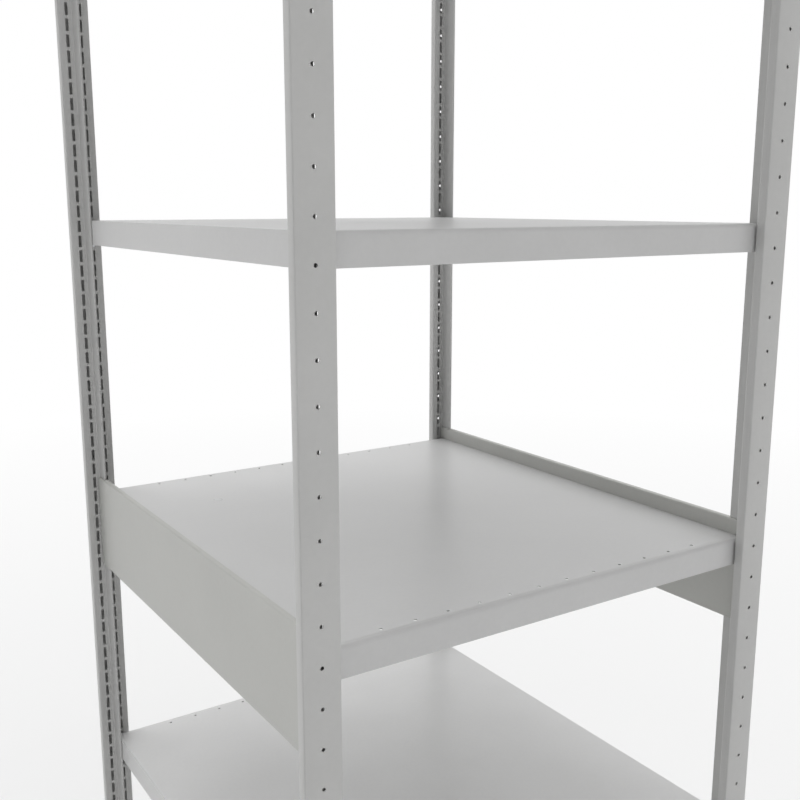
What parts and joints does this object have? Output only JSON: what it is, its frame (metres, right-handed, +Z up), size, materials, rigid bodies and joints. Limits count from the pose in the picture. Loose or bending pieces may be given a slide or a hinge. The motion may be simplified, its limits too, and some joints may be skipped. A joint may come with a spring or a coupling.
{
  "type": "gondola shelving unit",
  "caption": "Free-standing steel shelving unit with slotted T-section uprights, lift-off shelf pans on hook-in clips, deep side panels beside a shelf and levelling feet.",
  "frame": {"origin": "on the floor under the middle of the footprint", "axes": "+Z up, +X to the right along the front, -Y is the front of the unit and +Y its back"},
  "size_m": [0.8, 0.832, 2.1],
  "materials": {
    "post_paint": "light grey powder coat, satin",
    "shelf_paint": "light grey powder coat, satin",
    "panel_paint": "light grey powder coat, satin",
    "clip_zinc": "bright zinc plate",
    "cap_plastic": "grey moulded plastic, matt",
    "foot_plastic": "black moulded plastic, matt"
  },
  "bodies": {
    "frame": {"upright_front_left": "post_paint", "top_cap_front_left": "cap_plastic", "foot_plate_front_left": "post_paint", "upright_front_right": "post_paint", "top_cap_front_right": "cap_plastic", "foot_plate_front_right": "post_paint", "upright_rear_left": "post_paint", "top_cap_rear_left": "cap_plastic", "foot_plate_rear_left": "post_paint", "upright_rear_right": "post_paint", "top_cap_rear_right": "cap_plastic", "foot_plate_rear_right": "post_paint", "shelf_clip_1_front_left": "clip_zinc", "shelf_clip_1_front_right": "clip_zinc", "shelf_clip_1_rear_left": "clip_zinc", "shelf_clip_1_rear_right": "clip_zinc", "shelf_clip_2_front_left": "clip_zinc", "shelf_clip_2_front_right": "clip_zinc", "shelf_clip_2_rear_left": "clip_zinc", "shelf_clip_2_rear_right": "clip_zinc", "shelf_clip_3_front_left": "clip_zinc", "shelf_clip_3_front_right": "clip_zinc", "shelf_clip_3_rear_left": "clip_zinc", "shelf_clip_3_rear_right": "clip_zinc", "shelf_clip_4_front_left": "clip_zinc", "shelf_clip_4_front_right": "clip_zinc", "shelf_clip_4_rear_left": "clip_zinc", "shelf_clip_4_rear_right": "clip_zinc", "shelf_clip_5_front_left": "clip_zinc", "shelf_clip_5_front_right": "clip_zinc", "shelf_clip_5_rear_left": "clip_zinc", "shelf_clip_5_rear_right": "clip_zinc", "side_panel_left": "panel_paint", "side_panel_right": "panel_paint", "panel_hook_front_left": "clip_zinc", "panel_hook_front_right": "clip_zinc", "panel_hook_rear_left": "clip_zinc", "panel_hook_rear_right": "clip_zinc"},
    "shelf_1_body": {"shelf_1": "shelf_paint", "shelf_stiffener_1": "shelf_paint"},
    "shelf_2_body": {"shelf_2": "shelf_paint", "shelf_stiffener_2": "shelf_paint"},
    "shelf_3_body": {"shelf_3": "shelf_paint", "shelf_stiffener_3": "shelf_paint"},
    "shelf_4_body": {"shelf_4": "shelf_paint", "shelf_stiffener_4": "shelf_paint"},
    "shelf_5_body": {"shelf_5": "shelf_paint", "shelf_stiffener_5": "shelf_paint"},
    "foot_front_left_body": {"levelling_foot_front_left": "foot_plastic"},
    "foot_front_right_body": {"levelling_foot_front_right": "foot_plastic"},
    "foot_rear_left_body": {"levelling_foot_rear_left": "foot_plastic"},
    "foot_rear_right_body": {"levelling_foot_rear_right": "foot_plastic"}
  },
  "joints": [
    {"name": "shelf_1_lift", "type": "slide", "parent": "frame", "child": "shelf_1_body", "axis": [0, 0, 1], "range_m": [0, 0.03]},
    {"name": "shelf_2_lift", "type": "slide", "parent": "frame", "child": "shelf_2_body", "axis": [0, 0, 1], "range_m": [0, 0.03]},
    {"name": "shelf_3_lift", "type": "slide", "parent": "frame", "child": "shelf_3_body", "axis": [0, 0, 1], "range_m": [0, 0.03]},
    {"name": "shelf_4_lift", "type": "slide", "parent": "frame", "child": "shelf_4_body", "axis": [0, 0, 1], "range_m": [0, 0.03]},
    {"name": "shelf_5_lift", "type": "slide", "parent": "frame", "child": "shelf_5_body", "axis": [0, 0, 1], "range_m": [0, 0.03]},
    {"name": "foot_front_left_turn", "type": "hinge", "parent": "frame", "child": "foot_front_left_body", "pos_m": [-0.375, -0.3932, 0.01], "axis": [0, 0, 1], "continuous": true},
    {"name": "foot_front_right_turn", "type": "hinge", "parent": "frame", "child": "foot_front_right_body", "pos_m": [0.375, -0.3932, 0.01], "axis": [0, 0, 1], "continuous": true},
    {"name": "foot_rear_left_turn", "type": "hinge", "parent": "frame", "child": "foot_rear_left_body", "pos_m": [-0.375, 0.3932, 0.01], "axis": [0, 0, 1], "continuous": true},
    {"name": "foot_rear_right_turn", "type": "hinge", "parent": "frame", "child": "foot_rear_right_body", "pos_m": [0.375, 0.3932, 0.01], "axis": [0, 0, 1], "continuous": true}
  ]
}
